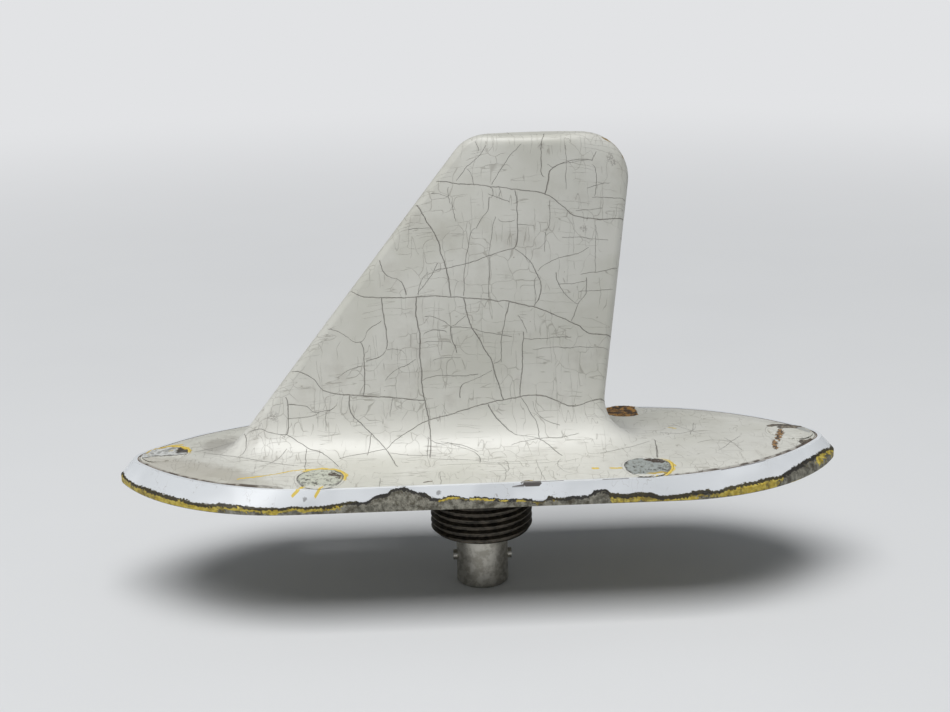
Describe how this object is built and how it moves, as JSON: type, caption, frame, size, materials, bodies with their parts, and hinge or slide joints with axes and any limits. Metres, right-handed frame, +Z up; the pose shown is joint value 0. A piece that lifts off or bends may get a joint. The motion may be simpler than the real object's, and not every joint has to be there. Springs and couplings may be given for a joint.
{
  "type": "blade antenna",
  "caption": "Swept blade antenna for aircraft distance measuring gear: hollow moulded fin on a leaf-shaped base plate, countersunk screw holes, threaded boss and bayonet coaxial jack below.",
  "frame": {"origin": "centre of the base plate's flat mounting face, on the axis of the threaded boss", "axes": "+X aft along the base, so the sloping leading edge points to -X; +Y across the base; +Z up along the fin, out of the aircraft"},
  "size_m": [0.133, 0.044, 0.0847],
  "materials": {
    "white_base": "painted, chipped at the lower edge",
    "cream_skin": "painted glass fibre, cracked",
    "adhesive": "matte",
    "bare_aluminium": "dull",
    "dark_boss": "dull, darkened",
    "nickel": "satin nickel plate",
    "seal_rubber": "matte",
    "white_insulator": "matte",
    "gold_contact": "gold plate",
    "sheet_brass": "satin",
    "fastener_steel": "satin",
    "foam": "matte"
  },
  "bodies": {
    "root": {"base_plate": "white_base", "blade_skin": "cream_skin", "bond_film": "adhesive", "hole_ferrules": "bare_aluminium", "threaded_boss": "dark_boss", "boss_nut": "nickel", "boss_gasket": "seal_rubber", "jack_body": "nickel", "jack_gasket": "seal_rubber", "jack_washer": "fastener_steel", "jack_nut": "nickel", "jack_insulator": "white_insulator", "jack_contact": "gold_contact", "feed_insulator": "white_insulator", "feed_post": "sheet_brass", "feed_screw": "fastener_steel", "radiator": "sheet_brass", "radiator_clip": "sheet_brass", "clip_rivets": "sheet_brass", "ground_strap": "sheet_brass", "strap_rivet": "sheet_brass", "strap_screw": "fastener_steel", "foam_core": "foam"}
  },
  "joints": []
}
